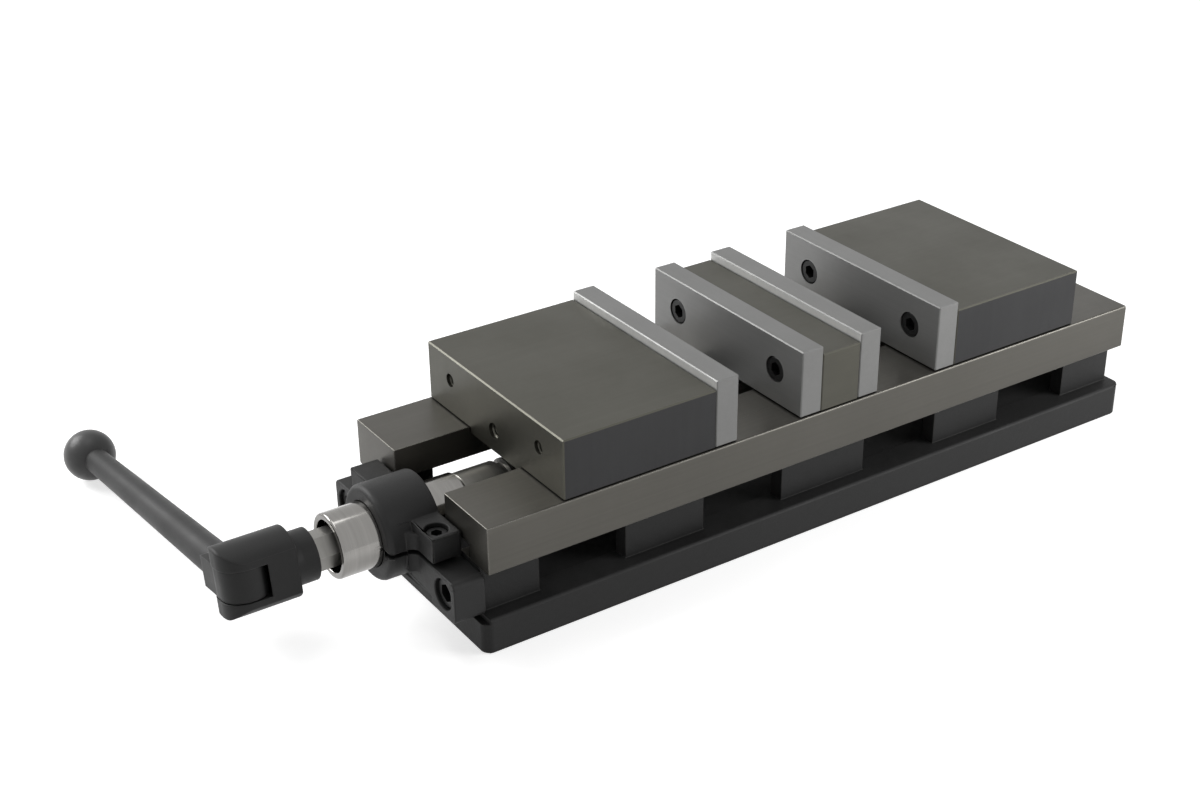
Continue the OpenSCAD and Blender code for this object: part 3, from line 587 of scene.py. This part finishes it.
def build_lead_screw():
    """The whole screw: turned outline, hexagon and both threads."""
    shape = bmesh.new()
    bar = turn_rings(shape, [
        (SPINDLE_FRONT, SPINDLE_RADIUS - SCREW_EASE),
        (SPINDLE_FRONT + SCREW_EASE, SPINDLE_RADIUS),
        (SCREW_JOURNAL_FRONT, SPINDLE_RADIUS), (SCREW_JOURNAL_FRONT, JOURNAL_RADIUS),
        (THREADED_FRONT, JOURNAL_RADIUS), (THREADED_FRONT, THREAD_RADIUS - SCREW_EASE),
        (THREADED_FRONT + SCREW_EASE, THREAD_RADIUS),
        (THREADED_PLAIN_END, THREAD_RADIUS), (ROOT_FRONT, THREAD_ROOT),
        (-MIDDLE_HALF, THREAD_ROOT), (-MIDDLE_HALF - MIDDLE_STEP, MIDDLE_RADIUS),
        (MIDDLE_HALF, MIDDLE_RADIUS), (MIDDLE_HALF, THREAD_ROOT),
        (TAIL_FRONT, THREAD_ROOT), (TAIL_FRONT, TAIL_RADIUS),
        (TAIL_REAR - SCREW_EASE, TAIL_RADIUS), (TAIL_REAR, TAIL_RADIUS - SCREW_EASE)])
    join_rings(shape, bar)
    shape.faces.new(bar[0])
    shape.faces.new(bar[-1])
    profile = [(0, THREAD_SUNK), (FLANK, THREAD_RADIUS), (FLANK + CREST, THREAD_RADIUS),
               (2 * FLANK + CREST, THREAD_SUNK)]
    wind_thread(shape, FRONT_THREAD, THREAD_TURNS, LEAD, profile, hand=-1)
    wind_thread(shape, REAR_THREAD, THREAD_TURNS, LEAD, profile, hand=1)
    corner = ACROSS_FLATS / sqrt(3)
    angles = [pi / 3 * i - HANDLE_TILT for i in range(6)]
    ends = []
    for x, radius in ((HEXAGON_FRONT, corner - SCREW_EASE),
                      (HEXAGON_FRONT + SCREW_EASE, corner), (HEXAGON_REAR, corner)):
        ends.append([shape.verts.new((x, radius * cos(angle),
                                      AXIS_HEIGHT + radius * sin(angle)))
                     for angle in angles])
    join_rings(shape, ends)
    shape.faces.new(ends[0])
    shape.faces.new(ends[-1])
    return shape


# Its lighter edges are a painted highlight, partly wear.
screw_steel = ground_metal("screw_steel", colour=(0.2, 0.195, 0.18),
                           along=(900.0, 60.0, 60.0), metallic=0.9, roughness=0.3,
                           depth=0.004 * MM, contrast=0.12, worn_edge_highlight=(0.5, 0.49, 0.46))
lead_screw = new_piece("turned_screw", build_lead_screw(), screw_steel, "drive")
lead_screw.data.materials.append(oiled_steel)
for face in lead_screw.data.polygons:
    face.material_index = 1 if face.center.x < OILED_TO else 0
smooth_by_angle(lead_screw, SMOOTH_BELOW)
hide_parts("lead_screw")

# Centre jaw: a ground iron block bolted up through the rails' lips, with a hardened
# and ground steel plate screwed to each side.
FACES_ALONG = 0.9
ground_iron = ground_metal("ground_iron", colour=(0.078, 0.076, 0.063),
                           along=(7.0, 1300.0, 1300.0), metallic=0.85, roughness=0.38,
                           depth=0.003 * MM)
hard_plate = ground_metal("hard_plate", colour=(0.2, 0.2, 0.196),
                          along=(1500.0, 6.0, 1500.0), metallic=0.4, roughness=0.36,
                          depth=0.003 * MM, contrast=0.05)
# The plates' milled backs are far lighter than their faces: partly the finish, partly
# painted light.
milled_and_lit_back = ground_metal("milled_and_lit_back", colour=(0.55, 0.55, 0.54),
                           along=(900.0, 900.0, 60.0), metallic=0.4, roughness=0.5,
                           depth=0.004 * MM, contrast=0.08)


def dress_plate(name, back):
    """A plate's ground faces, and its milled back on the -1 or +1 side along X, made
    lighter as painted light.
    """
    mesh = dress(name, hard_plate, milled_and_lit_back)
    for face in mesh.polygons:
        face.material_index = 1 if face.normal.x * back > FACES_ALONG else 0


dress("center_jaw", ground_iron)
dress_plate("center_front_plate", back=1)
dress_plate("center_rear_plate", back=-1)
for name in ("center_front_plate_screws", "center_rear_plate_screws", "center_jaw_bolts"):
    dress(name, black_screw)

# Moving jaws: ground iron on top and at the ends and milled at the sides, each with a
# plate like the centre jaw's. Three tapped holes show in their outer ends.
OUTER_END = 196.5 * MM
RAIL_TOP = 81 * MM
JAW_SIDE = 75 * MM
TAP_PITCH = 1.5 * MM
TAP_CREST_FROM = 0.55 * TAP_PITCH
TAP_CREST_TO = 0.65 * TAP_PITCH
TAP_ROOT_AT = 0.99 * TAP_PITCH
TAP_INSET = 0.6 * MM
TAP_SMOOTH_BELOW = 40
SIDE_TAP_OUT = 49.25 * MM
SIDE_TAP = {"height": 22.3 * MM, "root": 4.3 * MM, "crest": 3.62 * MM, "depth": 18 * MM}
MIDDLE_TAP = {"height": 10.4 * MM, "root": 5.08 * MM, "crest": 4.25 * MM, "depth": 21 * MM}
milled_side = ground_metal("milled_side", colour=(0.034, 0.034, 0.035),
                           along=(900.0, 900.0, 40.0), metallic=0.8, roughness=0.45,
                           depth=0.004 * MM)


def thread_hole(side, way, label, y, height, root, crest, depth):
    """The thread's ridges in one tapped hole; way is -1 or +1 along X."""
    profile = [(0, root), (TAP_CREST_FROM, crest), (TAP_CREST_TO, crest),
               (TAP_ROOT_AT, root)]
    start = way * OUTER_END + (TAP_INSET if way < 0 else -(depth + TAP_INSET))
    shape = bmesh.new()
    wind_thread(shape, start, depth / TAP_PITCH - 1, TAP_PITCH, profile, hand=1,
                centre=(y, RAIL_TOP + height))
    threads = new_piece(side + "_jaw_" + label + "_thread", shape, ground_iron,
                        side + "_slider")
    smooth_by_angle(threads, TAP_SMOOTH_BELOW)


for side, way in (("front", -1), ("rear", 1)):
    mesh = dress(side + "_jaw", ground_iron, milled_side)
    for face in mesh.polygons:
        outer = abs(face.center.y) > JAW_SIDE - FACE_SLACK
        face.material_index = 1 if outer and abs(face.normal.y) > FACES_ALONG else 0
    dress_plate(side + "_jaw_plate", back=way)
    dress(side + "_plate_screws", black_screw)
    dress(side + "_set_screw", black_screw)
    thread_hole(side, way, "near", -SIDE_TAP_OUT, **SIDE_TAP)
    thread_hole(side, way, "far", SIDE_TAP_OUT, **SIDE_TAP)
    thread_hole(side, way, "middle", 0, **MIDDLE_TAP)

# Nuts: machined iron, under the rails' lips. A steel segment on each nut's horn pulls
# its jaw down as it pulls it in.
nut_iron = ground_metal("nut_iron", colour=(0.12, 0.12, 0.115),
                        along=(60.0, 900.0, 900.0), metallic=0.5, roughness=0.45,
                        depth=0.008 * MM, contrast=0.1)
for side in ("front", "rear"):
    dress(side + "_nut", nut_iron)
    dress(side + "_segment", bright_turned)

# Handle: a forged and blackened hub that slips onto the screw's hexagon, a round arm
# pinned in its fork, and a ball grip screwed to the arm's end.
handle_black = painted_casting("handle_black", paint=(0.02, 0.02, 0.02),
                               bare=(0.1, 0.1, 0.1), grain=1.4, depth=0.04 * MM,
                               roughness=0.44, specular=0.2, soften=1.2 * MM)
grip_black = painted_casting("grip_black", paint=(0.055, 0.055, 0.055),
                             bare=(0.15, 0.15, 0.15), grain=1.6, depth=0.03 * MM,
                             roughness=0.34, specular=0.25)
for name in ("handle_hub", "hub_pin", "handle_arm"):
    dress(name, handle_black)
dress("handle_ball", grip_black)
